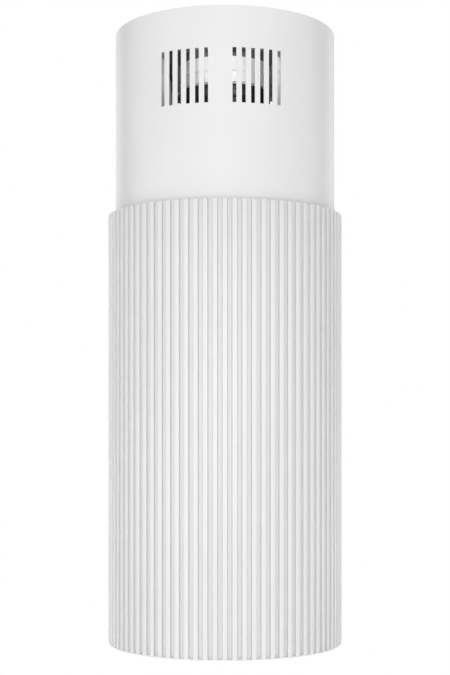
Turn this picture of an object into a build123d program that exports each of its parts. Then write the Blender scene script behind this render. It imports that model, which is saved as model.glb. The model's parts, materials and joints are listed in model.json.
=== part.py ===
from build123d import *
import math
import os

# Ceiling-hung cylindrical air purifier in the form of an island hood.
#
# A smooth slotted tube hangs from a ceiling plate. A fluted sleeve, with the blower, filters and
# controls inside it, telescopes on the tube. Air enters through the grease filter in the underside,
# passes the charcoal cartridges and the blower, rises through a flexible duct and leaves by the slots.
#
# Millimetres, +Z up. The origin is the middle of the ceiling plate's top face, so the whole object
# lies below z = 0. The front, where the controls are, is towards -Y.

# Casing
tube_radius = 182.5
tube_wall = 1.2
tube_length = 490.0
tube_shown = 300.0            # tube left showing above the sleeve
sleeve_radius = 195.0         # over the ridges
sleeve_length = 710.0
sleeve_wall = 1.2
flute_count = 80
flute_depth = 4.0
ridge_share = 0.58            # share of one flute's width that is ridge

# Outlet slots, in two groups at the front and two at the rear
slot_width = 6.0
slot_height = 85.0
slot_top = -65.0
slot_pitch = 4.59             # degrees
slots_in_group = 6
first_slot = 1.5 * slot_pitch # degrees from the front axis to the first slot's middle

# Ceiling plate
plate_radius = 180.0
plate_thickness = 2.0
plate_rim = 14.0
bolt_spacing_x = 220.0
bolt_spacing_y = 120.0
bolt_hole_radius = 4.25
tube_screw_turns = (20.0, 160.0)
bead_radius = 162.0           # stamped stiffening bead
cable_y = 117.5
cable_hole_radius = 8.0
tab_bottom = -32.0            # ends of the tabs that the rails are screwed to

# Telescopic frame
rail_corner = 100.0           # outer faces of the upper rails
rail_leg = 14.0
rail_wall = 2.0
upper_rail_bottom = -400.0
inner_rail_gap = 0.3
inner_rail_leg = 12.0
inner_rail_top = -250.0
clamp_z = -385.0
tab_screw_heights = (-12.0, -26.0)
bridge_screw_z = -56.0
screw_xy = 91.5               # how far out the frame's screws stand
slide_up = 130.0
slide_down = 120.0
screw_radius = 2.5
lightening_holes = 11
lightening_top = -110.0
lightening_pitch = 25.0
cut_from, cut_to = 80.0, 110.0 # a cut right through a rail's face

# Outlet collar and duct
collar_inner = 73.0
collar_lower_radius = 75.0
collar_upper_radius = 76.2
collar_top = -47.0
collar_step = -73.0
collar_bottom = -90.0
spigot_outer = 72.0
spigot_inner = 70.2
duct_inner = 72.3
duct_outer = 74.5
duct_top = -92.0
duct_bottom = -598.0

# Unit inside the sleeve
chassis_top = -640.0
chassis_radius = 176.0
sleeve_top = -tube_shown
sleeve_bottom = sleeve_top - sleeve_length
base_face = sleeve_bottom + 2.0       # underside of the base plate
base_thickness = 1.5
base_lip_radius = 180.0       # inner edge of the base ring's lip
post_x = 150.0
post_y = 78.0

# Blower
fan_y = -58.0
fan_z = -790.0
fan_radius = 75.0
blade_inner = 62.0
fan_half_width = 55.0
blade_count = 36
shell_half_width = 62.0
shell_wall = 2.0
neck_half = 62.0
inlet_radius = 64.0
motor_radius = 42.0
shaft_radius = 4.0
flap_z = -612.0

# Grease filter
filter_half = 118.0
filter_opening = 120.5
hinge_y = 112.0
hinge_z = sleeve_bottom + 7.0
button_pitch = 20.0
button_y = -150.0
button_radius = 6.0
lamp_x = 150.0
lamp_body_radius = 23.6
lamp_flange_radius = 26.0
lamp_glass_radius = 20.0
lamp_depth = 20.0

# Charcoal cartridges, on bayonet lugs round the blower's inlets
cartridge_radius = 85.0
cartridge_wall = 2.0
cartridge_seat = 69.5         # inner end, measured from the middle of the fan
cartridge_end = 100.0
lug_turns = (90, 210, 330)
lug_inside = 90.6
lug_outside = 94.0

# Electrical parts
control_box_x = 58.0
control_box_y = (78.0, 138.0)
control_box_bottom = -700.0
box_wall = 2.0
board_z = -672.0
capacitor_x, capacitor_y = 96.0, 60.0
capacitor_radius = 15.0
capacitor_bottom = -708.0
terminal_box_y = (104.0, 146.0)
terminal_box_bottom = -42.0

LOW = (Align.CENTER, Align.CENTER, Align.MIN)


# Building blocks

def disc(radius, bottom, top):
    """Upright cylinder between two heights."""
    return Pos(0, 0, bottom) * Cylinder(radius, top - bottom, align=LOW)


def ring(outer, inner, bottom, top):
    """Upright tube between two heights."""
    return disc(outer, bottom, top) - disc(inner, bottom - 1, top + 1)


def block(x, y, z):
    """Box from three (low, high) pairs."""
    size = [pair[1] - pair[0] for pair in (x, y, z)]
    return Pos(x[0], y[0], z[0]) * Box(*size, align=(Align.MIN,) * 3)


def rod_x(radius, x0, x1, y, z):
    """Cylinder along X."""
    low, high = min(x0, x1), max(x0, x1)
    return Pos(low, y, z) * Rot(0, 90, 0) * Cylinder(radius, high - low, align=LOW)


def rod_y(radius, y0, y1, x, z):
    """Cylinder along Y."""
    low, high = min(y0, y1), max(y0, y1)
    return Pos(x, low, z) * Rot(-90, 0, 0) * Cylinder(radius, high - low, align=LOW)


def polar(radius, degrees):
    angle = math.radians(degrees)
    return (radius * math.cos(angle), radius * math.sin(angle))


def solids_of(*shapes):
    """Separate solids kept as one group."""
    return Compound(children=[solid for shape in shapes for solid in shape.solids()])


def save(name, shape):
    found = shape.solids()
    export_step(found[0] if len(found) == 1 else solids_of(shape), f"parts/{name}.step")


def to_corner(shape, sx, sy):
    """Shape made in the rear right corner, mirrored into the corner with these signs."""
    shape = shape if sx > 0 else mirror(shape, Plane.YZ)
    return shape if sy > 0 else mirror(shape, Plane.XZ)


def each_corner():
    """The four (x, y) signs, front left first."""
    return [(-1, -1), (1, -1), (1, 1), (-1, 1)]


def angle_bar(corner_x, corner_y, leg, wall, bottom, top, sign_x, sign_y):
    """L-profile with its outer faces at corner_x and corner_y, open towards the axis."""
    outer = block((corner_x - leg, corner_x), (corner_y - leg, corner_y), (bottom, top))
    inner = block(
        (corner_x - leg - 1, corner_x - wall), (corner_y - leg - 1, corner_y - wall), (bottom - 1, top + 1)
    )
    return to_corner(outer - inner, sign_x, sign_y)


# Casing

def upper_tube():
    tube = ring(tube_radius, tube_radius - tube_wall, -tube_length, 0)
    cutter_depth = 30.0
    for side in (-90, 90):
        for hand in (-1, 1):
            for i in range(slots_in_group):
                turn = side + hand * (first_slot + i * slot_pitch)
                slot = block(
                    (tube_radius - cutter_depth, tube_radius + cutter_depth),
                    (-slot_width / 2, slot_width / 2),
                    (slot_top - slot_height, slot_top),
                )
                tube -= Rot(0, 0, turn) * slot
    for turn in tube_screw_turns:
        tube -= Rot(0, 0, turn) * rod_x(2.25, tube_radius - 10, tube_radius + 10, 0, -plate_rim / 2)
    return tube


def fluted_face(inset):
    """Closed outline of ridges and grooves, each an arc, set in from the outside by inset."""
    pitch = 360 / flute_count
    ridge_half = ridge_share * pitch / 2
    crest = sleeve_radius - inset
    flank = crest - ridge_share * flute_depth
    root = crest - flute_depth
    start = -90 + pitch / 2        # the front axis meets the middle of a groove
    arcs = []
    for i in range(flute_count):
        middle = start + i * pitch
        left, right = middle - ridge_half, middle + ridge_half
        arcs.append(ThreePointArc(polar(flank, left), polar(crest, middle), polar(flank, right)))
        arcs.append(
            ThreePointArc(polar(flank, right), polar(root, middle + pitch / 2), polar(flank, left + pitch))
        )
    return make_face(Wire(arcs))


def fluted_sleeve():
    height = sleeve_length - 2.0
    outside = extrude(fluted_face(0), amount=height)
    inside = extrude(fluted_face(sleeve_wall), amount=height)
    return Pos(0, 0, sleeve_bottom + 2.0) * (outside - inside)


def sleeve_groove_inside():
    """Radius of the sleeve's innermost surface."""
    return sleeve_radius - flute_depth - sleeve_wall


def sleeve_top_hoop():
    edge = sleeve_groove_inside() - 0.2
    return ring(edge, tube_radius + 0.8, sleeve_top - 2, sleeve_top - 0.5) + ring(
        edge, edge - 1.5, sleeve_top - 26, sleeve_top - 2
    )


def guide_pads():
    inside = sleeve_groove_inside() - 1.7
    band = ring(inside, tube_radius + 0.4, sleeve_top - 24, sleeve_top - 4)
    pads = []
    for i in range(6):
        sector = block((150, 200), (-12, 12), (sleeve_top - 30, sleeve_top))
        pads.append(Rot(0, 0, 60 * i) * (band & sector))
    return solids_of(*pads)


def base_ring():
    edge = sleeve_groove_inside() - 0.4
    return ring(sleeve_radius - 0.6, base_lip_radius, sleeve_bottom, sleeve_bottom + 2) + ring(
        edge, edge - 1.5, sleeve_bottom + 2, sleeve_bottom + 26
    )


def base_plate():
    top = base_face + base_thickness
    plate = disc(sleeve_groove_inside() - 2.2, base_face, top)
    opening = filter_opening
    lip = opening + 1.5
    lips = block((-lip, lip), (-lip, lip), (top, top + 12.5))
    plate = plate + lips
    plate -= block((-opening, opening), (-opening, opening), (base_face - 1, top + 20))
    plate -= rod_x(2.05, -lip - 1, lip + 1, hinge_y, hinge_z)
    for i in range(5):
        x = (i - 2) * button_pitch
        plate -= Pos(x, button_y, 0) * disc(button_radius + 0.3, base_face - 1, top + 1)
    for side in (-1, 1):
        plate -= Pos(side * lamp_x, 0, 0) * disc(lamp_body_radius + 0.2, base_face - 1, top + 1)
    return plate


# Ceiling plate and frame

def ceiling_plate():
    plate = ring(plate_radius, plate_radius - plate_thickness, -plate_rim, 0)
    plate += disc(plate_radius, -plate_thickness, 0)
    plate += ring(bead_radius + 4, bead_radius - 4, -plate_thickness - 1, -plate_thickness)
    plate -= ring(bead_radius + 2.5, bead_radius - 2.5, -1.2, 1)
    inner_face = rail_corner - rail_wall
    for sx, sy in each_corner():
        tab = block(
            (rail_corner - rail_leg, inner_face),
            (inner_face - plate_thickness, inner_face),
            (tab_bottom, -plate_thickness),
        )
        plate += to_corner(tab, sx, sy)
    for sx, sy in each_corner():
        plate -= Pos(sx * bolt_spacing_x / 2, sy * bolt_spacing_y / 2, 0) * disc(bolt_hole_radius, -5, 5)
        for z in tab_screw_heights:
            plate -= rod_y(screw_radius + 0.05, sy * cut_from, sy * cut_to, sx * screw_xy, z)
    plate -= Pos(0, cable_y, 0) * disc(cable_hole_radius, -5, 5)
    for turn in tube_screw_turns:
        plate -= Rot(0, 0, turn) * rod_x(2.05, plate_radius - 10, plate_radius + 10, 0, -plate_rim / 2)
    return plate


def upper_rail(sx, sy):
    rail = angle_bar(
        rail_corner, rail_corner, rail_leg, rail_wall, upper_rail_bottom, -plate_thickness, sx, sy
    )
    for z in tab_screw_heights + (bridge_screw_z, clamp_z):
        rail -= rod_y(screw_radius + 0.1, sy * cut_from, sy * cut_to, sx * screw_xy, z)
    hole_y = sy * (rail_corner - rail_leg / 2)
    for i in range(lightening_holes):
        hole_z = lightening_top - i * lightening_pitch
        rail -= rod_x(screw_radius, sx * cut_from, sx * cut_to, hole_y, hole_z)
    return rail


def lower_rail(sx, sy):
    corner = rail_corner - rail_wall - inner_rail_gap
    rail = angle_bar(corner, corner, inner_rail_leg, rail_wall, chassis_top, inner_rail_top, sx, sy)
    foot = block(
        (corner - inner_rail_leg, corner - rail_wall),
        (corner - inner_rail_leg, corner - rail_wall),
        (chassis_top, chassis_top + rail_wall),
    )
    rail += to_corner(foot, sx, sy)
    half = screw_radius + 0.2
    slot_low, slot_high = clamp_z - slide_up - 6, clamp_z + slide_down + 6
    slot = block((screw_xy - half, screw_xy + half), (cut_from, cut_to), (slot_low, slot_high))
    rail -= to_corner(slot, sx, sy)
    foot_hole = disc(screw_radius + 0.1, chassis_top - 1, chassis_top + 5)
    return rail - Pos(sx * screw_xy, sy * screw_xy, 0) * foot_hole


def machine_screw_y(x, y_head, z, length, sy):
    """Pan-head screw along Y; the head stands outside y_head and the shank runs towards the axis."""
    head = rod_y(4.2, sy * y_head, sy * (y_head + 2.8), x, z)
    recess = block((x - 2.2, x + 2.2), (y_head + 1.5, y_head + 3), (z - 0.5, z + 0.5))
    recess += block((x - 0.5, x + 0.5), (y_head + 1.5, y_head + 3), (z - 2.2, z + 2.2))
    recess = recess if sy > 0 else mirror(recess, Plane.XZ)
    shank = rod_y(screw_radius, sy * (y_head - length), sy * (y_head + 0.5), x, z)
    return head + shank - recess


def rail_screws():
    """Screws from the rails into the ceiling plate's tabs and the duct bridge."""
    return solids_of(
        *[
            machine_screw_y(sx * screw_xy, rail_corner, z, 9, sy)
            for sx, sy in each_corner()
            for z in tab_screw_heights + (bridge_screw_z,)
        ]
    )


def height_screws():
    """Screws that clamp the upper and lower rails together at the chosen height."""
    screws = [
        machine_screw_y(sx * screw_xy, rail_corner, clamp_z, 12, sy) for sx, sy in each_corner()
    ]
    return solids_of(*screws)


def height_nuts():
    """Hexagon nuts behind the lower rails' slots."""
    inner = rail_corner - 2 * rail_wall - inner_rail_gap - 0.3
    nuts = []
    for sx, sy in each_corner():
        hexagon = extrude(RegularPolygon(4.6, 6, rotation=30), amount=4)
        nut = Pos(sx * screw_xy, sy * inner, clamp_z) * Rot(90 * sy, 0, 0) * hexagon
        thread = rod_y(screw_radius + 0.02, sy * cut_from, sy * cut_to, sx * screw_xy, clamp_z)
        nuts.append(nut - thread)
    return solids_of(*nuts)


def tube_screws():
    """Low-headed screws that hold the tube to the ceiling plate's rim."""
    screws = []
    for turn in tube_screw_turns:
        z = -plate_rim / 2
        screw = rod_x(2, plate_radius - 8, tube_radius + 0.8, 0, z)
        screw += rod_x(4.2, tube_radius + 0.05, tube_radius + 1.8, 0, z)
        screw -= block((tube_radius + 1.0, tube_radius + 3), (-2.4, 2.4), (z - 0.45, z + 0.45))
        screws.append(Rot(0, 0, turn) * screw)
    return solids_of(*screws)


def terminal_box():
    """Open-topped box under the ceiling plate where the mains cable is connected."""
    half = 35.0
    front, rear = terminal_box_y
    shape = block((-half, half), (front, rear), (terminal_box_bottom, -plate_thickness))
    shape -= block(
        (-half + box_wall, half - box_wall),
        (front + box_wall, rear - box_wall),
        (terminal_box_bottom + box_wall, 0),
    )
    return shape - rod_y(5, front - 14, front + 6, 0, -30)


def terminal_block():
    body = block((-24, 24), (129, 143), (-20, -plate_thickness))
    for x in (-16, 0, 16):
        body -= Pos(x, 136, 0) * disc(2.6, -21, -12)
    return body


def cable_grommet():
    grommet = ring(cable_hole_radius, 5, -plate_thickness, 0) + ring(11, 5, -4.5, -plate_thickness)
    return Pos(0, cable_y, 0) * grommet


# Outlet collar and duct

def duct_bridge():
    """Square plate between the upper rails that carries the outlet collar."""
    half = rail_corner - rail_wall - 0.5
    plate = block((-half, half), (-half, half), (collar_top - 2, collar_top))
    plate -= disc(collar_upper_radius + 0.1, collar_top - 3, collar_top + 1)
    for sx, sy in each_corner():
        tab = block(
            (rail_corner - rail_leg, half), (half - 2, half), (collar_top - 16, collar_top - 2)
        )
        plate += to_corner(tab, sx, sy)
        plate -= rod_y(screw_radius + 0.05, sy * cut_from, sy * cut_to, sx * screw_xy, bridge_screw_z)
    return plate


def outlet_collar():
    profile = Polyline(
        (collar_inner, collar_top + 2),
        (84, collar_top + 2),
        (84, collar_top),
        (collar_upper_radius, collar_top),
        (collar_upper_radius, collar_step),
        (collar_lower_radius, collar_step - 1),
        (collar_lower_radius, collar_bottom),
        (spigot_outer, collar_bottom),
        (spigot_outer, collar_bottom - 32),
        (spigot_inner, collar_bottom - 32),
        (spigot_inner, collar_bottom + 3),
        (collar_inner, collar_bottom + 6),
        close=True,
    )
    return revolve(Plane.XZ * make_face(profile), Axis.Z)


def flex_duct():
    return ring(duct_outer, duct_inner, duct_bottom, duct_top)


def hose_clamp(z, turn):
    """Steel band with its worm housing and screw."""
    band = ring(duct_outer + 0.8, duct_outer + 0.05, z - 4.5, z + 4.5)
    housing = block((duct_outer + 0.6, duct_outer + 7), (-7, 7), (z - 5.5, z + 5.5))
    screw = rod_y(3.6, -12, 10, duct_outer + 4.4, z)
    return Rot(0, 0, turn) * (band + housing + screw)


def blower_collar():
    flange = ring(86, spigot_inner, chassis_top, chassis_top + 2.5)
    wall = ring(spigot_outer, spigot_inner, chassis_top, duct_bottom + 30)
    seat = ring(spigot_inner + 0.5, 66, flap_z - 3, flap_z - 0.9)
    collar = flange + wall + seat
    collar -= rod_x(1.55, -80, 80, 0, flap_z)
    for i in range(4):
        collar -= Rot(0, 0, 45 + 90 * i) * Pos(80, 0, 0) * disc(2.2, chassis_top - 1, chassis_top + 4)
    return collar


def damper_pin():
    return rod_x(1.5, -spigot_outer, spigot_outer, 0, flap_z)


def damper_flap(side):
    """Half-disc flap with two knuckles on the middle pin; side is -1 for the front one."""
    radius = spigot_inner - 0.6
    plate = disc(radius, flap_z - 0.6, flap_z + 0.6) & block((-80, 80), (3.8, 80), (flap_z - 5, flap_z + 5))
    spans = [(-56, -40), (40, 56)] if side < 0 else [(-32, -16), (16, 32)]
    for low, high in spans:
        knuckle = rod_x(3.2, low, high, 0, flap_z)
        knuckle += block((low, high), (2.4, 4.2), (flap_z - 0.6, flap_z + 0.6))
        plate += knuckle
    plate -= rod_x(1.58, -80, 80, 0, flap_z)
    return plate if side > 0 else mirror(plate, Plane.XZ)


# Unit chassis

def chassis_plate():
    plate = disc(chassis_radius, chassis_top - 2, chassis_top)
    plate -= disc(spigot_inner, chassis_top - 3, chassis_top + 1)
    for sx, sy in each_corner():
        hole = disc(screw_radius + 0.05, chassis_top - 3, chassis_top + 1)
        plate -= Pos(sx * screw_xy, sy * screw_xy, 0) * hole
    for i in range(4):
        plate -= Rot(0, 0, 45 + 90 * i) * Pos(80, 0, 0) * disc(2.05, chassis_top - 3, chassis_top + 1)
    return plate


def post(sx, sy):
    return angle_bar(post_x, post_y, 15, 1.5, base_face + base_thickness, chassis_top - 2, sx, sy)


def chassis_screws():
    """Screws down through the lower rails' feet and the blower collar's flange."""
    screws = []
    for sx, sy in each_corner():
        screw = disc(screw_radius, chassis_top - 6, chassis_top + 3)
        screw += disc(4, chassis_top + 2, chassis_top + 4.6)
        screws.append(Pos(sx * screw_xy, sy * screw_xy, 0) * screw)
    for i in range(4):
        screw = disc(2, chassis_top - 6, chassis_top + 3) + disc(3.6, chassis_top + 2.5, chassis_top + 4.7)
        screws.append(Rot(0, 0, 45 + 90 * i) * Pos(80, 0, 0) * screw)
    return solids_of(*screws)


def control_box():
    """Closed box for the electronics, hung under the chassis plate."""
    half = control_box_x
    front, rear = control_box_y
    box_shape = block((-half, half), (front, rear), (control_box_bottom, chassis_top - 2))
    box_shape -= block(
        (-half + box_wall, half - box_wall),
        (front + box_wall, rear - box_wall),
        (control_box_bottom + box_wall, chassis_top - 4),
    )
    cable_notch = block((-10, 10), (front - 8, front + 4), (-690, -680))
    return box_shape - cable_notch


def control_board():
    front, rear = control_box_y
    return block((-50, 50), (front + 6, rear - 6), (board_z, board_z + 1.6))


def capacitor():
    can = disc(capacitor_radius, capacitor_bottom, chassis_top - 2)
    terminals = disc(4, capacitor_bottom - 6, capacitor_bottom + 8)
    return Pos(capacitor_x, capacitor_y, 0) * (can + terminals)


# Blower

def scroll_face(inset):
    """Side outline of the scroll: three arcs of growing radius and the neck, in the YZ plane."""
    big, middle, small = 120 - inset, 108 - inset, 98 - inset
    right = neck_half - inset
    left = -neck_half + inset
    bottom_y, bottom_z = fan_y, fan_z - big
    back_y, back_z = bottom_y - middle, bottom_z + middle
    top_y, top_z = back_y + small, back_z + small
    top = chassis_top - 2 + (5 if inset else 0)
    half_root = math.sqrt(0.5)
    arcs = [
        Line((right, top), (right, fan_z)),
        ThreePointArc(
            (right, fan_z), (fan_y + big * half_root, fan_z - big * half_root), (bottom_y, bottom_z)
        ),
        ThreePointArc(
            (bottom_y, bottom_z),
            (bottom_y - middle * half_root, back_z - middle * half_root),
            (back_y, back_z),
        ),
        ThreePointArc(
            (back_y, back_z), (top_y - small * half_root, back_z + small * half_root), (top_y, top_z)
        ),
        Line((top_y, top_z), (left, top_z + 6)),
        Line((left, top_z + 6), (left, top)),
        Line((left, top), (right, top)),
    ]
    return Plane.YZ * make_face(Wire(arcs))


def around_fan(shape):
    return Pos(0, fan_y, fan_z) * shape


def blower_shell(side):
    """Half of the scroll, from the split at x = 0 to its side wall, with its bayonet lugs."""
    shell = extrude(scroll_face(0), amount=shell_half_width)
    shell -= extrude(scroll_face(shell_wall), amount=shell_half_width - shell_wall)
    shell -= rod_x(inlet_radius, 50, 70, fan_y, fan_z)
    lip = rod_x(inlet_radius + 2, shell_half_width - 1, 65.5, fan_y, fan_z)
    shell += lip - rod_x(inlet_radius, 50, 70, fan_y, fan_z)
    for turn in lug_turns:
        lug = block((shell_half_width - 1, 75.5), (lug_inside, lug_outside), (-9, 9))
        lug += block((73, 75.5), (86.8, lug_outside), (-9, 9))
        shell += around_fan(Rot(turn, 0, 0) * lug)
    return shell if side > 0 else mirror(shell, Plane.YZ)


def impeller():
    """Double-inlet squirrel cage: end rings, middle disc, hub and curved blades."""
    parts = rod_x(fan_radius, -fan_half_width, -fan_half_width + 3, 0, 0)
    parts += rod_x(fan_radius, fan_half_width - 3, fan_half_width, 0, 0)
    parts -= rod_x(blade_inner - 1, -60, 60, 0, 0)
    parts += rod_x(fan_radius - 0.5, -6, -3, 0, 0)
    parts += rod_x(12, -20, 0, 0, 0)
    blade = blade_face()
    blades = [Rot(360 / blade_count * i, 0, 0) * blade for i in range(blade_count)]
    parts = parts + blades
    return around_fan(parts - rod_x(shaft_radius, -30, 10, 0, 0))


def blade_face():
    """One forward-curved blade, a thin arc strip carried along the shaft."""
    middle = (blade_inner + fan_radius) / 2
    outer_arc = ThreePointArc((blade_inner, 0), (middle, -1.8), (fan_radius - 0.5, 1.5))
    inner_arc = ThreePointArc((fan_radius - 0.5, 2.7), (middle, -0.6), (blade_inner, 1.2))
    edge = [
        outer_arc,
        Line((fan_radius - 0.5, 1.5), (fan_radius - 0.5, 2.7)),
        inner_arc,
        Line((blade_inner, 1.2), (blade_inner, 0)),
    ]
    strip = extrude(Plane.YZ * make_face(Wire(edge)), amount=2 * fan_half_width - 2)
    return Pos(-fan_half_width + 1, 0, 0) * strip


def motor():
    body = rod_x(motor_radius, 12, 66, 0, 0) + rod_x(14, 9, 12, 0, 0)
    groove = rod_x(motor_radius + 1, 30, 34, 0, 0) - rod_x(motor_radius - 1.5, 29, 35, 0, 0)
    body -= groove
    return around_fan(body - rod_x(shaft_radius + 0.05, 5, 46, 0, 0))


def motor_shaft():
    return around_fan(rod_x(shaft_radius, -28, 45, 0, 0))


def impeller_nut():
    nut = Pos(-27, 0, 0) * Rot(0, 90, 0) * extrude(RegularPolygon(7.5, 6), amount=7)
    return around_fan(nut - rod_x(shaft_radius + 0.02, -30, -15, 0, 0))


def motor_bracket():
    """Three-armed spider that holds the motor in the right-hand inlet."""
    spider = rod_x(80, shell_half_width, 68, 0, 0) - rod_x(70, 60, 70, 0, 0)
    spider += rod_x(30, 66, 68, 0, 0)
    for turn in (30, 150, 270):
        spider += Rot(turn, 0, 0) * block((66, 68), (20, 72), (-7, 7))
    for turn in lug_turns:
        spider -= Rot(turn, 0, 0) * rod_x(2.1, 60, 70, 75, 0)
    return around_fan(spider)


def charcoal_case(side):
    """Round cartridge case with a spoked outer face, three bayonet tabs and a grip bar."""
    inside = cartridge_radius - cartridge_wall
    case = rod_x(cartridge_radius, cartridge_seat, cartridge_end, 0, 0)
    case -= rod_x(inside, 60, cartridge_end - cartridge_wall, 0, 0)
    windows = 12
    for i in range(windows):
        window = block((cartridge_end - 3, cartridge_end + 1), (28, 76), (-6, 6))
        case -= Rot(360 / windows * (i + 0.5), 0, 0) * window
    case += block((cartridge_end - 1, cartridge_end + 8), (-24, 24), (-4, 4))
    flange = rod_x(cartridge_radius + 5, cartridge_seat, 72.4, 0, 0)
    flange -= rod_x(cartridge_radius - 1, 60, 80, 0, 0)
    for turn in lug_turns:
        keep = Rot(turn, 0, 0) * block((60, 80), (70, 100), (-18, 18))
        case += flange & keep
    case = around_fan(case)
    return case if side > 0 else mirror(case, Plane.YZ)


def charcoal_core(side):
    """Bed of charcoal pellets that fills the cartridge."""
    radius = cartridge_radius - cartridge_wall - 0.3
    bed = rod_x(radius, cartridge_seat + 0.5, cartridge_end - cartridge_wall - 0.3, 0, 0)
    core = around_fan(bed)
    return core if side > 0 else mirror(core, Plane.YZ)


# Underside

def filter_frame():
    """Square channel frame round the mesh, with the two pins it swings on."""
    low, high = base_face, base_face + 10
    bar = 12
    half = filter_half
    frame = block((-half, half), (-half, half), (low, high))
    frame -= block((-half + bar, half - bar), (-half + bar, half - bar), (low - 1, high + 1))
    pocket = half - 6
    frame -= block((-pocket, pocket), (-pocket, pocket), (low + 1.3, high - 1.3))
    for side in (-1, 1):
        frame += rod_x(2, side * (half - 1), side * (filter_opening + 3), hinge_y, hinge_z)
    return frame


def filter_mesh():
    half = filter_half - 6.3
    return block((-half, half), (-half, half), (base_face + 1.6, base_face + 8.4))


def filter_pull():
    """Bent finger tab riveted under the frame's front bar."""
    tab = block((-22, 22), (-filter_half + 2, -filter_half + 14), (base_face - 1, base_face))
    return tab + block((-22, 22), (-filter_half + 13, -filter_half + 14), (base_face - 1.8, base_face))


def catch_magnets():
    top = base_face + 15.5
    return solids_of(
        *[
            block((x - 7, x + 7), (-filter_opening, -filter_opening + 9), (base_face + 10.3, top))
            for x in (-70, 70)
        ]
    )


def switch_housing():
    low = base_face + base_thickness
    housing = block((-52, 52), (button_y - 14, button_y + 14), (low, low + 17))
    well = disc(button_radius + 1.2, low - 1, low + 13)
    for i in range(5):
        housing -= Pos((i - 2) * button_pitch, button_y, 0) * well
    return housing


def button(index):
    x = (index - 2) * button_pitch
    low = base_face + base_thickness
    cap = disc(button_radius, base_face - 1.4, low + 10) + disc(button_radius + 0.9, low + 0.3, low + 1.8)
    face_edge = cap.edges().group_by(Axis.Z)[0]
    return Pos(x, button_y, 0) * fillet(face_edge, 0.6)


def lamp_bezel(side):
    """Lamp housing: a flange under the base plate and a closed can above it."""
    can_top = base_face + lamp_depth
    bezel = ring(lamp_flange_radius, lamp_glass_radius, base_face - 1.2, base_face)
    bezel += ring(lamp_body_radius, lamp_glass_radius, base_face - 0.5, can_top - 2)
    bezel += disc(lamp_body_radius, can_top - 2, can_top)
    return Pos(side * lamp_x, 0, 0) * bezel


def lamp_lens(side):
    lens = disc(lamp_glass_radius - 0.2, base_face - 0.6, base_face + 1.6)
    return Pos(side * lamp_x, 0, 0) * lens


def main():
    os.makedirs("parts", exist_ok=True)
    hands = ((-1, "left"), (1, "right"))
    # Fixed to the ceiling
    save("ceiling_plate", ceiling_plate())
    save("upper_tube", upper_tube())
    save("tube_screws", tube_screws())
    for sx, hand in hands:
        save(f"upper_rails_{hand}", solids_of(upper_rail(sx, -1), upper_rail(sx, 1)))
    save("rail_screws", rail_screws())
    save("height_screws", height_screws())
    save("height_nuts", height_nuts())
    save("terminal_box", terminal_box())
    save("terminal_block", terminal_block())
    save("cable_grommet", cable_grommet())
    save("duct_bridge", duct_bridge())
    save("outlet_collar", outlet_collar())
    save("flex_duct", flex_duct())
    save("top_hose_clamp", hose_clamp(collar_bottom - 16, 200))
    # Unit that slides on the frame
    save("fluted_sleeve", fluted_sleeve())
    save("sleeve_top_hoop", sleeve_top_hoop())
    save("guide_pads", guide_pads())
    save("base_ring", base_ring())
    save("base_plate", base_plate())
    for sx, hand in hands:
        save(f"lower_rails_{hand}", solids_of(lower_rail(sx, -1), lower_rail(sx, 1)))
        save(f"chassis_posts_{hand}", solids_of(post(sx, -1), post(sx, 1)))
    save("chassis_plate", chassis_plate())
    save("chassis_screws", chassis_screws())
    save("blower_collar", blower_collar())
    save("bottom_hose_clamp", hose_clamp(duct_bottom + 14, 160))
    save("damper_pin", damper_pin())
    save("blower_shell_left", blower_shell(-1))
    save("blower_shell_right", blower_shell(1))
    save("motor", motor())
    save("motor_bracket", motor_bracket())
    save("control_box", control_box())
    save("control_board", control_board())
    save("capacitor", capacitor())
    save("switch_housing", switch_housing())
    save("catch_magnets", catch_magnets())
    # Pieces that move on their own
    save("damper_flap_front", damper_flap(-1))
    save("damper_flap_rear", damper_flap(1))
    save("impeller", impeller())
    save("motor_shaft", motor_shaft())
    save("impeller_nut", impeller_nut())
    for side, hand in hands:
        save(f"charcoal_case_{hand}", charcoal_case(side))
        save(f"charcoal_core_{hand}", charcoal_core(side))
        save(f"lamp_bezel_{hand}", lamp_bezel(side))
        save(f"lamp_lens_{hand}", lamp_lens(side))
    save("filter_frame", filter_frame())
    save("filter_mesh", filter_mesh())
    save("filter_pull", filter_pull())
    for index, use in enumerate(("light", "slower", "power", "faster", "timer")):
        save(f"button_{use}", button(index))


main()
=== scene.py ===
import bpy
import bmesh
import json
import math
import numpy as np
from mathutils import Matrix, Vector


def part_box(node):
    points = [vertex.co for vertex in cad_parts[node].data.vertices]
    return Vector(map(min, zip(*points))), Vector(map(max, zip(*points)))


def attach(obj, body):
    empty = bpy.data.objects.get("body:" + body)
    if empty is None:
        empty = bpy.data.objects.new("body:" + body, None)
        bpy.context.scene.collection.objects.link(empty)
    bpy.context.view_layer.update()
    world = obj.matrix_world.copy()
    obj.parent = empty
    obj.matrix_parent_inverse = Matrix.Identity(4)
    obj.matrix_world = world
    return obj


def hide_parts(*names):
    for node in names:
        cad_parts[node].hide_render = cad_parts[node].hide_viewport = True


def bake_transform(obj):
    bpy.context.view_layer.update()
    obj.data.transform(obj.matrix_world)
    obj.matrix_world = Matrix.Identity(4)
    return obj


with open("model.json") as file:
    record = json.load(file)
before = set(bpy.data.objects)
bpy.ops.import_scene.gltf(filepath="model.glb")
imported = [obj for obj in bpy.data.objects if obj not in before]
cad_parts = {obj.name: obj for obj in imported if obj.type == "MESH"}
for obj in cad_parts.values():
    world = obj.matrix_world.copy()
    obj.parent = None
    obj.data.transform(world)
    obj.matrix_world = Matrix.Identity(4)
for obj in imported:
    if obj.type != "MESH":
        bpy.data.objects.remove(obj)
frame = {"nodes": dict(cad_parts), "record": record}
nodes, record = frame["nodes"], frame["record"]
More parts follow.
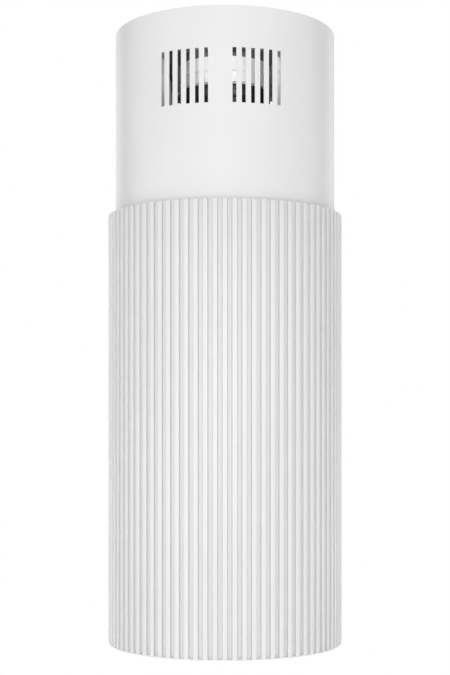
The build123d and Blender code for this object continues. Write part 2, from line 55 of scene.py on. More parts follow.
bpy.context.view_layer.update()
slotOf = {part["node"]: part["material_slot"] for part in record["subparts"]}
bodyOf = {node: body for body, members in record["behaviour"]["bodies"].items() for node in members}
pieces = {}
remade = set()  # nodes that have a piece of their own
print("frame loaded:", len(nodes), "nodes")


# Shaders

class Value:  # a shader socket whose operators add Math nodes
    def __init__(self, finish, socket):
        self.finish, self.socket = finish, socket

    def math(self, operation, *values):
        return self.finish.add("Math", {"operation": operation}, *values)

    def __add__(self, other):
        return self.math("ADD", self, other)

    def __sub__(self, other):
        return self.math("SUBTRACT", self, other)

    def __mul__(self, other):
        return self.math("MULTIPLY", self, other)

    def __truediv__(self, other):
        return self.math("DIVIDE", self, other)

    def __pow__(self, other):
        return self.math("POWER", self, other)

    def __rsub__(self, other):
        return self.math("SUBTRACT", other, self)

    def __rtruediv__(self, other):
        return self.math("DIVIDE", other, self)

    __radd__, __rmul__ = __add__, __mul__

    def between(self, low, high):  # 0 below low, 1 above high, smooth in between
        return self.finish.add(
            "MapRange", {"interpolation_type": "SMOOTHSTEP"}, self, From_Min=low, From_Max=high
        )


class Finish:  # one material, built around a Principled shader
    def __init__(self, name, **sockets):
        self.material = bpy.data.materials.new(name)
        self.material.use_nodes = True
        self.tree = self.material.node_tree
        self.shader = self.tree.nodes["Principled BSDF"]
        self.where = self.add("TexCoord", output="Object")
        self.set(**sockets)

    def link(self, value, socket):
        if isinstance(value, Value):
            self.tree.links.new(value.socket, socket)
        else:
            socket.default_value = value

    def add(self, kind, settings=None, *values, output=0, **named):
        node = self.tree.nodes.new("ShaderNode" + kind)
        for key, setting in (settings or {}).items():
            setattr(node, key, setting)
        for index, value in enumerate(values):
            self.link(value, node.inputs[index])
        for label, value in named.items():
            self.link(value, node.inputs[label.replace("_", " ")])
        return Value(self, node.outputs[output])

    def set(self, **sockets):
        for label, value in sockets.items():
            self.link(value, self.shader.inputs[label.replace("_", " ")])

    def noise(self, size, detail=2.0, stretch=(1, 1, 1)):  # size is the grain's width in metres
        placed = self.add("Mapping", None, self.where, Scale=stretch)
        return self.add("TexNoise", None, placed, Scale=1 / size, Detail=detail)

    def cells(self, size, feature="F1", output="Distance"):
        return self.add("TexVoronoi", {"feature": feature}, self.where, Scale=1 / size, output=output)

    def blend(self, factor, first, second):  # colours only
        mix = self.add("Mix", {"data_type": "RGBA"}, factor, output=2)
        for socket, colour in zip(mix.socket.node.inputs[6:8], (first, second)):
            self.link(colour if isinstance(colour, Value) else (*colour, 1), socket)
        return mix

    def axis(self, name):
        return self.add("SeparateXYZ", None, self.where, output=name)

    def bump(self, height, depth, strength=1.0):  # depth in metres for a height from 0 to 1
        self.set(Normal=self.add("Bump", None, Strength=strength, Distance=depth, Height=height))


def powderCoat(name, look, walls=None):
    # flat powder finish: orange peel, a faint drift in tone and gloss; where the surface is fluted, with
    # sunk = (crest - radius) / depth, shade is painted into the colour: darker on the grooves' floors and
    # darker still on their walls
    finish = Finish(name, IOR=1.45)
    drift = finish.noise(look["drift"], 3).between(0.3, 0.7)
    coatAndShade = finish.blend(drift, look["shade"], look["light"])
    if walls:
        radius = (finish.axis("X") ** 2 + finish.axis("Y") ** 2) ** 0.5
        sunk = (walls["crest"] - radius) / walls["depth"]
        # painted shade: the grooves' floors, and their walls more so, get a darker colour that stands for the
        # shade between the ridges
        wallShadeMask = sunk.between(*walls["wallStart"]) * (1 - sunk.between(*walls["wallEnd"]))
        coatAndShade = finish.blend(sunk.between(*walls["floorStart"]), coatAndShade, walls["floorCoat"])
        coatAndShade = finish.blend(wallShadeMask, coatAndShade, walls["wallCoat"])
    finish.set(Base_Color=coatAndShade)
    finish.set(Roughness=look["roughness"] + finish.noise(look["patch"], 4) * look["spread"])
    peel = finish.noise(look["peel"], 1) + finish.noise(look["peel"] / 3, 0) * 0.3
    finish.bump(peel, look["depth"])
    return finish.material


def galvanised(name, look):
    # zinc spangle: each crystal has its own tone and gloss
    finish = Finish(name, Metallic=look["metallic"])
    crystal = finish.cells(look["spangle"], output="Color")
    tone = finish.add("SeparateColor", None, crystal)
    haze = finish.noise(look["haze"], 4).between(0.35, 0.7)
    finish.set(Base_Color=finish.blend(tone * 0.75 + haze * 0.25, look["dark"], look["bright"]))
    finish.set(Roughness=look["roughness"] + tone * 0.12 + haze * 0.05)
    finish.bump(finish.noise(look["frost"], 2) + tone * 0.4, look["depth"])
    return finish.material


def brushed(name, look):
    # fine scratches drawn out along one axis
    finish = Finish(name, Metallic=1.0)
    lines = finish.noise(look["grain"], 3, look["stretch"])
    smear = finish.noise(look["smear"], 2).between(0.3, 0.75)
    finish.set(Base_Color=finish.blend(lines * 0.6 + smear * 0.4, look["dark"], look["bright"]))
    finish.set(Roughness=look["roughness"] + lines * 0.12 + smear * 0.06)
    finish.bump(lines, look["depth"])
    return finish.material


def moulded(name, look):
    # plastic with a spark-eroded grain and worn, lighter spots
    finish = Finish(name, IOR=1.46)
    grain = finish.cells(look["grain"], "SMOOTH_F1")
    rub = finish.noise(look["rub"], 4).between(0.45, 0.75)
    finish.set(Base_Color=finish.blend(rub, look["colour"], look["rubbed"]))
    finish.set(Roughness=look["roughness"] - rub * 0.08)
    finish.bump(grain, look["depth"])
    return finish.material


def charcoalPellets(name, look):
    # packed round grains, dusty in places
    finish = Finish(name)
    pellet = finish.cells(look["pellet"])
    tone = finish.noise(look["dust"], 3)
    finish.set(Base_Color=finish.blend(tone, look["dark"], look["bright"]))
    finish.set(Roughness=0.55 + tone * 0.3)
    finish.bump(1 - pellet * 1.6, look["depth"])
    return finish.material


def opalLens(name, look):
    # milky plastic with a gloss skin
    finish = Finish(name, IOR=1.49, Coat_Weight=look["gloss"])
    cloud = finish.noise(look["cloud"], 3)
    finish.set(Base_Color=finish.blend(cloud, look["shade"], look["light"]))
    finish.set(Roughness=look["roughness"] + cloud * 0.1)
    finish.bump(finish.noise(look["grain"], 1), look["depth"])
    return finish.material


def circuitBoard(name, look):
    # lacquer over islands of copper
    finish = Finish(name, IOR=1.5)
    track = finish.cells(look["island"], "DISTANCE_TO_EDGE").between(0.04, 0.1)
    finish.set(Base_Color=finish.blend(track, look["copper"], look["lacquer"]))
    finish.set(Roughness=look["roughness"] + finish.noise(look["smear"]) * 0.15)
    finish.bump(track, look["depth"])
    return finish.material


white = {  # colours, and the sizes of the patterns in metres
    "shade": (0.78, 0.78, 0.78), "light": (0.81, 0.81, 0.81), "drift": 0.25, "patch": 0.012,
    "roughness": 0.4, "spread": 0.05, "peel": 0.0014, "depth": 0.00001,
}
zincSheet = {
    "spangle": 0.009, "haze": 0.05, "frost": 0.0008, "dark": (0.56, 0.57, 0.58), "bright": (0.72, 0.73, 0.74),
    "metallic": 0.8, "roughness": 0.42, "depth": 0.00003,
}
steel = {
    "grain": 0.0007, "stretch": (0.03, 1, 1), "smear": 0.03, "dark": (0.5, 0.5, 0.49),
    "bright": (0.66, 0.66, 0.65), "roughness": 0.26, "depth": 0.00001,
}
black = {
    "grain": 0.0007, "rub": 0.02, "colour": (0.012, 0.012, 0.013), "rubbed": (0.022, 0.022, 0.023),
    "roughness": 0.5, "depth": 0.00003,
}
pellets = {"pellet": 0.004, "dust": 0.002, "dark": (0.006, 0.006, 0.006), "bright": (0.03, 0.03, 0.03),
           "depth": 0.0012}
opal = {"cloud": 0.006, "grain": 0.0009, "shade": (0.82, 0.81, 0.77), "light": (0.88, 0.87, 0.84),
        "gloss": 0.3, "roughness": 0.28, "depth": 0.00002}
board = {"island": 0.006, "smear": 0.004, "copper": (0.05, 0.2, 0.08), "lacquer": (0.012, 0.09, 0.035),
         "roughness": 0.3, "depth": 0.00006}
finishes = {
    "casing_white": powderCoat("casingWhite", white),
    "collar_white": moulded("collarWhite", {
        **black, "colour": (0.78, 0.78, 0.77), "rubbed": (0.84, 0.84, 0.83)}),
    "galvanised": galvanised("galvanisedSheet", zincSheet),
    # near-black paint; on the duct bridge and the ceiling plate inside the tube this black is painted shade
    # in place of their galvanised steel
    "frame_black": powderCoat("frameBlack", {
        **white, "shade": (0.013, 0.013, 0.014), "light": (0.018, 0.018, 0.019)}),
    "zinc_fastener": brushed("zincFastener", {**steel, "stretch": (1, 1, 1), "dark": (0.45, 0.45, 0.42)}),
    "duct_black": moulded("ductBlack", {**black, "grain": 0.003, "roughness": 0.36, "depth": 0.0001}),
    "black_plastic": moulded("blackPlastic", black),
    "pad_nylon": moulded("padNylon", {**black, "colour": (0.68, 0.67, 0.6), "rubbed": (0.75, 0.74, 0.68)}),
    "motor_grey": powderCoat("motorGrey", {
        **white, "shade": (0.05, 0.052, 0.056), "light": (0.07, 0.072, 0.076)}),
    "shaft_steel": brushed("shaftSteel", {**steel, "stretch": (1, 0.02, 0.02)}),
    "charcoal": charcoalPellets("charcoalPellets", pellets),
    "filter_steel": brushed("filterSteel", {
        **steel, "dark": (0.34, 0.34, 0.335), "bright": (0.48, 0.48, 0.475), "roughness": 0.42}),
    "filter_mesh": brushed("filterMesh", {
        **steel, "dark": (0.2, 0.205, 0.21), "bright": (0.34, 0.345, 0.35), "roughness": 0.5}),
    "lens_opal": opalLens("lensOpal", opal),
    "button_chrome": brushed("buttonSatin", {**steel, "grain": 0.0004, "roughness": 0.3}),
    "board_green": circuitBoard("circuitBoard", board),
    "capacitor_white": moulded("capacitorWhite", {
        **black, "colour": (0.7, 0.7, 0.68), "rubbed": (0.78, 0.78, 0.76), "roughness": 0.3}),
    "terminal_cream": moulded("terminalCream", {
        **black, "colour": (0.62, 0.57, 0.4), "rubbed": (0.7, 0.65, 0.5)}),
    "magnet_black": moulded("magnetBlack", {**black, "grain": 0.0004}),
}
print("finishes:", len(finishes))


# Meshes

def gridFaces(rows, columns, closedRows=False):
    # quads between neighbouring grid points; columns wrap round, and rows do where they are closed
    r, c = np.meshgrid(np.arange(rows if closedRows else rows - 1), np.arange(columns), indexing="ij")
    nextR, nextC = (r + 1) % rows, (c + 1) % columns
    corners = [r * columns + c, r * columns + nextC, nextR * columns + nextC, nextR * columns + c]
    return np.stack(corners, -1).reshape(-1, 4)


def addPiece(name, points, faces, replaced, smooth=35, bevel=0.0, rides=True, finish=None):
    # one mesh with outward faces, riding on its node's body and wearing its slot's finish
    mesh = bpy.data.meshes.new(name)
    mesh.from_pydata(np.asarray(points).reshape(-1, 3).tolist(), [], [list(map(int, f)) for f in faces])
    form = bmesh.new()
    form.from_mesh(mesh)
    bmesh.ops.remove_doubles(form, verts=form.verts, dist=1e-7)
    bmesh.ops.recalc_face_normals(form, faces=form.faces)
    form.to_mesh(mesh)
    form.free()
    return dress(name, mesh, replaced, smooth, bevel, rides, finish)


def dress(name, mesh, replaced, smooth, bevel, rides=True, finish=None):
    mesh.polygons.foreach_set("use_smooth", [True] * len(mesh.polygons))
    mesh.set_sharp_from_angle(angle=math.radians(smooth))
    piece = bpy.data.objects.new(name, mesh)
    bpy.context.scene.collection.objects.link(piece)
    if bevel:
        edge = piece.modifiers.new("edges", "BEVEL")
        edge.width, edge.segments, edge.limit_method = bevel, 2, "ANGLE"
        edge.angle_limit, edge.harden_normals = math.radians(32), True
    first = replaced[0]
    mesh.materials.clear()
    mesh.materials.append(finish or finishes[slotOf[first]])
    if rides:
        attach(piece, bodyOf[first])
    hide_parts(*replaced)
    pieces[name] = piece
    remade.update(replaced)
    return piece


def turned(profile, segments, centre=(0, 0)):
    # points[i, j] = the profile's (radius, height) i turned to angle j about the upright through centre
    profile = np.asarray(profile, float)
    angle = np.linspace(0, 2 * math.pi, segments, endpoint=False)
    across = profile[:, None, 0] * np.cos(angle)
    along = profile[:, None, 0] * np.sin(angle)
    height = np.repeat(profile[:, 1:2], segments, 1)
    return np.stack([across + centre[0], along + centre[1], height], -1)


def rounded(corners, radius, steps=3):
    # a closed outline whose corners are replaced by arcs drawn as quadratic curves
    corners = np.asarray(corners, float)
    before, after = np.roll(corners, 1, 0), np.roll(corners, -1, 0)
    toBefore, toAfter = before - corners, after - corners
    lengthBefore = np.linalg.norm(toBefore, axis=1, keepdims=True)
    lengthAfter = np.linalg.norm(toAfter, axis=1, keepdims=True)
    reach = np.minimum(radius, 0.45 * np.minimum(lengthBefore, lengthAfter))
    start, end = corners + toBefore / lengthBefore * reach, corners + toAfter / lengthAfter * reach
    t = np.linspace(0, 1, steps)[None, :, None]
    curve = (1 - t) ** 2 * start[:, None] + 2 * t * (1 - t) * corners[:, None] + t**2 * end[:, None]
    return curve.reshape(-1, 2)


def latheRing(name, corners, radius, segments, replaced, **options):
    profile = rounded(corners, radius)
    points = turned(profile, segments)
    return addPiece(name, points, gridFaces(len(profile), segments, True), replaced, **options)


def boxOf(node):
    low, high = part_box(node)
    return np.array(low), np.array(high)


# Fluted sleeve

sleeve = {  # ridge and flank are shares of a flute's width; the painted groove shade starts and ends at shares of its depth
    "flutes": 80, "depth": 0.004, "ridge": 0.57, "flank": 0.09, "crown": 0.00022, "wall": 0.0012,
    "rim": 0.0004, "samples": 22, "floorCoat": (0.74, 0.74, 0.74), "wallCoat": (0.57, 0.57, 0.57),
    "floorStart": (0.1, 0.9), "wallStart": (0.08, 0.3), "wallEnd": (0.72, 0.96),
}


def flutedSleeve():
    # radius = crest - depth * groove, where groove is 1 on the floor, 0 on the ridge and a smooth step
    # over each flank; the ridge has a slight crown; each row is a height and how far in from the face
    low, high = boxOf("fluted_sleeve")
    crest = high[0]
    n = sleeve["samples"]
    t = np.arange(n) / n
    fromGroove = np.abs(t - 0.5)
    half = (1 - sleeve["ridge"]) / 2
    step = np.clip((fromGroove - half) / sleeve["flank"] + 0.5, 0, 1)
    groove = 1 - step * step * (3 - 2 * step)
    ridgeTurn = np.clip((0.5 - fromGroove) / (0.5 - half), 0, 1)
    offset = sleeve["depth"] * groove + sleeve["crown"] * ridgeTurn**2 * (1 - groove)
    flutes = sleeve["flutes"]
    angle = (np.arange(flutes)[:, None] + t[None, :] + 0.5).reshape(-1) * 2 * math.pi / flutes - math.pi / 2
    outline = crest - np.tile(offset, flutes)
    rim, wall = sleeve["rim"], sleeve["wall"]
    rows = [(low[2] + rim, 0), (high[2] - rim, 0), (high[2] - rim * 0.3, rim * 0.3), (high[2], rim)]
    rows += [(high[2], wall - rim), (high[2] - rim, wall), (low[2] + rim, wall)]
    rows += [(low[2], wall - rim), (low[2], rim)]
    rows = np.array(rows)
    radius = outline[None, :] - rows[:, 1:2]
    height = np.repeat(rows[:, 0:1], len(angle), 1)
    points = np.stack([radius * np.cos(angle), radius * np.sin(angle), height], -1)
    addPiece("sleeveShell", points, gridFaces(len(rows), len(angle), True), ["fluted_sleeve"], smooth=50,
             finish=powderCoat("flutedWhite", white, {**sleeve, "crest": float(crest)}))


flutedSleeve()
print("sleeve done")


# Slotted tube

tube = {  # first, pitch and step are in degrees; levels are the heights of rows of cells between the rims
    "wall": 0.0012, "slots": 6, "first": 6.885, "pitch": 4.59, "width": 0.006, "top": -0.065,
    "height": 0.085, "step": 1.6, "edge": 0.00022, "lowestRow": 0.1, "levels": (-0.3, -0.22, -0.108, -0.03),
}


def slottedTube():
    # an outer and an inner cylinder on one grid of cells; the slots' cells are left out, and every
    # border between a cell that is there and one that isn't gets a wall
    low, high = boxOf("upper_tube")
    radius = tube["width"] / 2
    outer = high[0]
    half = math.degrees(math.asin(radius / outer))
    middles = [side + hand * (tube["first"] + i * tube["pitch"])
               for side in (-90, 90) for hand in (-1, 1) for i in range(tube["slots"])]
    edges = np.sort([middle + shift for middle in middles for shift in (-half, half)])
    edges = np.append(edges, edges[0] + 360)
    spans = [np.linspace(a, b, max(2, int(round((b - a) / tube["step"])) + 1))[:-1]
             for a, b in zip(edges[:-1], edges[1:])]
    angle = np.concatenate(spans)
    count = len(angle)
    middle = angle + np.diff(np.append(angle, angle[0] + 360)) / 2
    nearest = np.min(np.abs((middle[:, None] - np.array(middles)[None] + 180) % 360 - 180), axis=1)
    slotTop, slotFoot = tube["top"], tube["top"] - tube["height"]
    rims = (low[2], low[2] + tube["lowestRow"], high[2])
    height = np.sort([*rims, slotTop, slotFoot, *tube["levels"]])
    level = (height[:-1] + height[1:]) / 2
    inSlot = (level < slotTop) & (level > slotFoot)
    solid = ~(inSlot[:, None] & (nearest < half)[None, :])
    rows = len(height)
    turn = np.radians(angle)
    shells = [np.stack([r * np.cos(turn)[None].repeat(rows, 0), r * np.sin(turn)[None].repeat(rows, 0),
                        height[:, None].repeat(count, 1)], -1) for r in (outer, outer - tube["wall"])]
    index = np.arange(rows * count).reshape(rows, count)
    inner = index + rows * count
    nextIndex, nextInner = np.roll(index, -1, 1), np.roll(inner, -1, 1)
    a, b, c, d = index[:-1], nextIndex[:-1], nextIndex[1:], index[1:]
    e, f, g, h = inner[:-1], nextInner[:-1], nextInner[1:], inner[1:]
    faces = [np.stack([a, b, c, d], -1)[solid], np.stack([h, g, f, e], -1)[solid]]
    above = np.vstack([solid[1:], np.zeros((1, count), bool)])
    below = np.vstack([np.zeros((1, count), bool), solid[:-1]])
    right, left = np.roll(solid, -1, 1), np.roll(solid, 1, 1)
    faces += [np.stack([d, c, g, h], -1)[solid & ~above], np.stack([b, a, e, f], -1)[solid & ~below]]
    faces += [np.stack([c, b, f, g], -1)[solid & ~right], np.stack([a, d, h, e], -1)[solid & ~left]]
    addPiece("tubeShell", np.concatenate(shells), np.concatenate(faces), ["upper_tube"], bevel=tube["edge"])


slottedTube()
print("tube done")


# Rings: base ring, top hoop, outlet collar

ringSegments = 240
baseLip = {"thick": 0.002, "band": 0.0015, "play": 0.0004, "inner": 0.18, "round": 0.0006}
hoop = {"sheet": 0.0015, "inner": 0.1833, "round": 0.0005}
collar = {  # radii, then heights
    "bore": 0.073, "flange": 0.084, "upperBand": 0.0762, "bead": 0.0767, "groove": 0.0752, "lowerBand": 0.075,
    "spigot": 0.072, "root": 0.0719, "rib": 0.0723, "mouth": 0.0702,
    "flangeThick": 0.002, "seam": 0.026, "beadUp": 0.0006, "beadDown": 0.0007, "grooveDown": 0.0012,
    "shoulder": 0.032, "ribs": 3, "ribPitch": 0.008, "ribHalf": 0.001, "cone": (0.003, 0.006),
    "round": 0.0005, "segments": 160,
}


def baseRing():
    # a flat lip under the sleeve's edge and a band that stands inside its grooves
    low, high = boxOf("base_ring")
    out, inner, z, lip = high[0], baseLip["inner"], low[2], low[2] + baseLip["thick"]
    bandOut = boxOf("fluted_sleeve")[1][0] - sleeve["depth"] - sleeve["wall"] - baseLip["play"]
    bandIn = bandOut - baseLip["band"]
    corners = [(out, z), (out, lip), (bandOut, lip), (bandOut, high[2]), (bandIn, high[2]), (bandIn, lip),
               (inner, lip), (inner, z)]
    latheRing("baseTrim", corners, baseLip["round"], ringSegments, ["base_ring"])


def topHoop():
    # a band with a flange turned in at its top
    low, high = boxOf("sleeve_top_hoop")
    out, inner, z, foot = high[0], hoop["inner"], high[2], low[2]
    back, under = out - hoop["sheet"], z - hoop["sheet"]
    corners = [(out, z), (inner, z), (inner, under), (back, under), (back, foot), (out, foot)]
    latheRing("topHoop", corners, hoop["round"], ringSegments, ["sleeve_top_hoop"])


def outletCollar():
    # a moulded collar: flange, upper band, a seam bead, lower band, ribbed spigot
    low, high = boxOf("outlet_collar")
    top, bottom = high[2], low[2]
    under, seam, shoulder = top - collar["flangeThick"], top - collar["seam"], bottom + collar["shoulder"]
    corners = [(collar["bore"], top), (collar["flange"], top), (collar["flange"], under),
               (collar["upperBand"], under), (collar["upperBand"], seam + collar["beadUp"]),
               (collar["bead"], seam), (collar["groove"], seam - collar["beadDown"]),
               (collar["lowerBand"], seam - collar["grooveDown"]), (collar["lowerBand"], shoulder),
               (collar["spigot"], shoulder)]
    for i in range(collar["ribs"]):
        z = shoulder - collar["ribPitch"] - i * collar["ribPitch"]
        corners += [(collar["root"], z + collar["ribHalf"]), (collar["rib"], z),
                    (collar["root"], z - collar["ribHalf"])]
    coneFoot, coneTop = collar["cone"]
    corners += [(collar["spigot"], bottom), (collar["mouth"], bottom),
                (collar["mouth"], shoulder + coneFoot), (collar["bore"], shoulder + coneTop)]
    latheRing("outletCollar", corners, collar["round"], collar["segments"], ["outlet_collar"])


baseRing()
topHoop()
outletCollar()


# Flexible duct

duct = {"pitch": 0.012, "samples": 8, "wave": 0.0009, "play": 0.0001, "segments": 56, "wall": 0.0004}


def flexDuct():
    # radius = mean + wave * cos(2 pi z / pitch - angle): one ridge that climbs like a screw thread
    low, high = boxOf("flex_duct")
    mean = high[0] - duct["wave"] - duct["play"]
    rows = int((high[2] - low[2]) / duct["pitch"] * duct["samples"])
    height = np.linspace(low[2], high[2], rows)[:, None]
    angle = np.linspace(0, 2 * math.pi, duct["segments"], endpoint=False)[None, :]
    wave = duct["wave"] * np.cos(2 * math.pi * height / duct["pitch"] - angle)
    walls = []
    for inset in (0, duct["wall"]):
        radius = mean - inset + wave
        walls.append(np.stack([radius * np.cos(angle), radius * np.sin(angle), height + 0 * angle], -1))
    points = np.concatenate([walls[0], walls[1][::-1]])
    faces = gridFaces(2 * rows, duct["segments"], True)
    piece = addPiece("flexDuct", points, faces, ["flex_duct"], smooth=60, rides=False)
    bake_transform(piece)


flexDuct()
print("rings and duct done")


# Grease filter's mesh pack

meshPack = {
    "layers": 3, "pitch": 0.0062, "diamond": 0.0125, "samples": 6, "strand": 0.0009, "thick": 0.0006,
    "under": 0.0006, "spare": 0.0024,
}


def strandNet(low, high, z, shift):
    # expanded metal: strand j runs along x at y = j pitch + (-1)^j pitch/2 cos(2 pi x / diamond), so
    # that neighbouring strands meet at their crests; each strand is a four-sided bar
    count = int((high[1] - low[1]) / meshPack["pitch"]) - 1
    steps = int((high[0] - low[0]) / meshPack["diamond"] * meshPack["samples"])
    x = np.linspace(low[0], high[0], steps)[None, :]
    row = np.arange(count)[:, None]
    wave = np.cos(2 * math.pi * (x + shift) / meshPack["diamond"])
    y = low[1] + meshPack["pitch"] * (row + 1) + (-1.0) ** row * wave * meshPack["pitch"] / 2
    half, thick = meshPack["strand"] / 2, meshPack["thick"]
    tilt = np.sin(2 * math.pi * (x + shift) / meshPack["diamond"]) * thick * 0.5
    corners = [(-half, 0), (half, 0), (half, thick), (-half, thick)]
    points = np.stack(
        [np.stack([x + 0 * row, y + dy, z + dz + tilt + 0 * y], -1) for dy, dz in corners], 2
    )
    side = gridFaces(steps, 4)
    block = (np.arange(count) * steps * 4)[:, None, None] + side[None]
    ends = np.array([[0, 1, 2, 3], [steps * 4 - 1, steps * 4 - 2, steps * 4 - 3, steps * 4 - 4]])
    ends = (np.arange(count) * steps * 4)[:, None, None] + ends[None]
    return points.reshape(-1, 3), np.concatenate([block.reshape(-1, 4), ends.reshape(-1, 4)])


def filterMesh():
    # nets one above the other, each shifted by a part of a diamond
    low, high = boxOf("filter_mesh")
    allPoints, allFaces, start = [], [], 0
    for layer in range(meshPack["layers"]):
        part = (layer + 0.5) / meshPack["layers"]
        z = low[2] + meshPack["under"] + part * (high[2] - low[2] - meshPack["spare"])
        points, faces = strandNet(low, high, z, layer * meshPack["diamond"] / 3)
        allPoints.append(points)
        allFaces.append(faces + start)
        start += len(points)
    addPiece("filterMeshPack", np.concatenate(allPoints), np.concatenate(allFaces), ["filter_mesh"])


filterMesh()


# Lamps and buttons

lens = {
    "ripple": 0.00014, "ring": 0.0024, "dome": 0.0005, "rim": 0.0006, "edge": 0.0003, "rows": 70,
    "segments": 96,
}
button = {
    "dish": 0.0005, "edge": 0.0006, "ledge": 0.0009, "stop": 0.0032, "stopThick": 0.0015, "segments": 64,
}


def lampLens(side):
    # a flat opal disc; its face is z = dome (r / R)^2 + ripple cos(2 pi r / ring)
    node = "lamp_lens_" + side
    low, high = boxOf(node)
    centre, outer = (low + high)[:2] / 2, (high - low)[0] / 2
    r = np.linspace(0, outer - lens["rim"], lens["rows"])
    ripple = lens["ripple"] * (1 + np.cos(2 * math.pi * r / lens["ring"]))
    z = low[2] + lens["dome"] * (r / outer) ** 2 + ripple
    back, edge = high[2], lens["edge"]
    rest = [(outer, z[-1] + lens["rim"]), (outer, back - edge), (outer - edge, back), (0, back)]
    profile = np.concatenate([np.stack([r, z], -1), rest])
    points = turned(profile, lens["segments"], centre)
    faces = gridFaces(len(profile), lens["segments"])
    addPiece("lampLens" + side.capitalize(), points, faces, [node], smooth=60)


def pushButton(use):
    # a turned cap: dished face, rounded edge, stem and stop collar
    node = "button_" + use
    low, high = boxOf(node)
    centre, widest = (low + high)[:2] / 2, (high - low)[0] / 2
    outer, top = widest - button["ledge"], high[2]
    r = np.linspace(0, outer - button["edge"] * 2, 12)
    dish = low[2] + button["dish"] * (1 - (r / r[-1]) ** 2)
    turn = np.linspace(0, math.pi / 2, 6)[1:]
    edgeR = outer - button["edge"] + button["edge"] * np.sin(turn)
    edgeZ = low[2] + button["edge"] * (1 - np.cos(turn))
    stop, stopTop = low[2] + button["stop"], low[2] + button["stop"] + button["stopThick"]
    body = [(outer, stop), (widest, stop), (widest, stopTop), (outer, stopTop), (outer, top), (0, top)]
    profile = np.concatenate([np.stack([r, dish], -1), np.stack([edgeR, edgeZ], -1), body])
    points = turned(profile, button["segments"], centre)
    name = "button" + use.capitalize()
    addPiece(name, points, gridFaces(len(profile), button["segments"]), [node], smooth=40)


for side in ("left", "right"):
    lampLens(side)
for use in ("light", "slower", "power", "faster", "timer"):
    pushButton(use)
print("filter mesh, lenses and buttons done")


# Everything else: the CAD solids with their edges broken

usualEdge = 0.0002
edgeWidths = {
    "ceiling_plate": 0.0004, "impeller": 0, "blower_shell_left": 0.0004, "blower_shell_right": 0.0004,
    "motor": 0.0006, "capacitor": 0.0006, "filter_frame": 0.0005, "base_plate": 0.00035,
}


def brokenEdges(node, bevel):
    # a merged copy of the solid's mesh, flat areas joined, with its edges slightly broken
    mesh = nodes[node].data.copy()
    form = bmesh.new()
    form.from_mesh(mesh)
    bmesh.ops.remove_doubles(form, verts=form.verts, dist=2e-6)
    bmesh.ops.dissolve_limit(form, angle_limit=math.radians(0.6), verts=form.verts, edges=form.edges)
    form.to_mesh(mesh)
    form.free()
    name = "".join(word.capitalize() if i else word for i, word in enumerate(node.split("_")))
    return dress(name, mesh, [node], 32, bevel)


for node in sorted(set(nodes) - remade):
    brokenEdges(node, edgeWidths.get(node, usualEdge))
print("other pieces:", len(pieces))


# Camera, lights, floor

view = {"azimuth": 2.31, "distance": 2.24, "height": -0.655, "lens": 71.2, "shift": 0.1365}
softboxes = {  # azimuth from the front in degrees, and power in watts
    "rearLeft": (-145, 16.0), "left": (-90, 10.5), "halfLeft": (-50, 8.0), "frontLeft": (-20, 10.5),
    "front": (0, 24.0), "frontRight": (20, 8.5), "halfRight": (50, 7.0), "right": (90, 12.0),
    "rearRight": (145, 16.0), "rear": (180, 14.0),
}
softboxPlace = {"distance": 2.6, "height": -0.5, "size": (0.7, 3.0)}
inside = {  # a pair behind the slots, given for the right-hand one; the other mirrors it
    "place": (0.06, -0.155, -0.07), "target": (-0.01, -0.076, -0.06), "size": (0.04, 0.03), "power": 0.058,
}
sky = {"seen": 1.0, "fill": 0.2, "zenith": 1.3, "from": 0.7, "to": 0.95}
ground = {
    "height": -2.6, "radius": 8.0, "corners": 96, "colour": (0.82, 0.82, 0.81), "glow": 0.25,
    "fade": (0.3, 0.95),
}


def aim(thing, target):
    away = thing.location - Vector(target)
    thing.rotation_euler = away.to_track_quat("Z", "Y").to_euler()


def addCamera():
    camera = bpy.data.objects.new("camera", bpy.data.cameras.new("camera"))
    bpy.context.scene.collection.objects.link(camera)
    turn, far = math.radians(view["azimuth"]), view["distance"]
    camera.location = (far * math.sin(turn), -far * math.cos(turn), view["height"])
    camera.rotation_euler = (math.pi / 2, 0, turn)
    camera.data.lens, camera.data.sensor_width = view["lens"], 36
    camera.data.shift_y = view["shift"]
    bpy.context.scene.camera = camera


def addLight(name, place, size, power, target):
    data = bpy.data.lights.new(name, "AREA")
    data.shape = "RECTANGLE"
    data.size, data.size_y = size
    data.energy = power
    lamp = bpy.data.objects.new(name, data)
    lamp.location = place
    aim(lamp, target)
    bpy.context.scene.collection.objects.link(lamp)


def addLights():
    far, height = softboxPlace["distance"], softboxPlace["height"]
    for name, (azimuth, power) in softboxes.items():
        turn = math.radians(azimuth)
        place = (far * math.sin(turn), -far * math.cos(turn), height)
        addLight(name, place, softboxPlace["size"], power, (0, 0, height))
    for hand, side in ((-1, "Left"), (1, "Right")):
        (x, *place), (aimX, *target) = inside["place"], inside["target"]
        addLight("inside" + side, (hand * x, *place), inside["size"], inside["power"], (hand * aimX, *target))


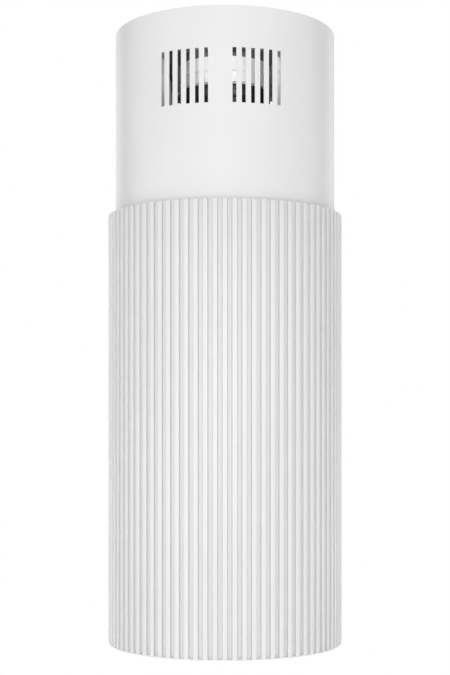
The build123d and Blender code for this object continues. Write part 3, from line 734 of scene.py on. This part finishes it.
def addSky():
    # plain white behind the object; as a light it is grey, and brighter overhead
    world = bpy.data.worlds.new("studio")
    world.use_nodes = True
    tree = world.node_tree
    up = tree.nodes.new("ShaderNodeSeparateXYZ")
    tree.links.new(tree.nodes.new("ShaderNodeTexCoord").outputs["Generated"], up.inputs["Vector"])
    overhead = tree.nodes.new("ShaderNodeMapRange")
    overhead.interpolation_type = "SMOOTHSTEP"
    for label, value in zip(("From Min", "From Max", "To Min", "To Max"),
                            (sky["from"], sky["to"], sky["fill"], sky["zenith"])):
        overhead.inputs[label].default_value = value
    tree.links.new(up.outputs["Z"], overhead.inputs["Value"])
    strength = tree.nodes.new("ShaderNodeMix")
    path = tree.nodes.new("ShaderNodeLightPath")
    tree.links.new(path.outputs["Is Camera Ray"], strength.inputs["Factor"])
    tree.links.new(overhead.outputs["Result"], strength.inputs["A"])
    strength.inputs["B"].default_value = sky["seen"]
    tree.nodes["Background"].inputs["Color"].default_value = (1, 1, 1, 1)
    tree.links.new(strength.outputs["Result"], tree.nodes["Background"].inputs["Strength"])
    bpy.context.scene.world = world
    bpy.context.scene.view_settings.view_transform = "Standard"


def addFloor():
    # a round pale floor that fades to the sky's white at its edge
    edge = turned([(ground["radius"], ground["height"])], ground["corners"])[0]
    mesh = bpy.data.meshes.new("floor")
    mesh.from_pydata(edge.tolist(), [], [list(range(ground["corners"]))])
    paint = Finish("floorPaint", Roughness=0.8, Emission_Strength=1.0)
    outward = (paint.axis("X") ** 2 + paint.axis("Y") ** 2) ** 0.5 / ground["radius"]
    fade = outward.between(*ground["fade"])
    seen = paint.add("LightPath", output="Is Camera Ray")
    glow = [ground["glow"] * part for part in ground["colour"]]
    paint.set(Base_Color=paint.blend(fade, ground["colour"], (0, 0, 0)))
    paint.set(Emission_Color=paint.blend(fade * seen, glow, (sky["seen"],) * 3))
    mesh.materials.append(paint.material)
    floor = bpy.data.objects.new("floor", mesh)
    bpy.context.scene.collection.objects.link(floor)


addCamera()
addLights()
addSky()
addFloor()
print("pieces:", len(pieces))
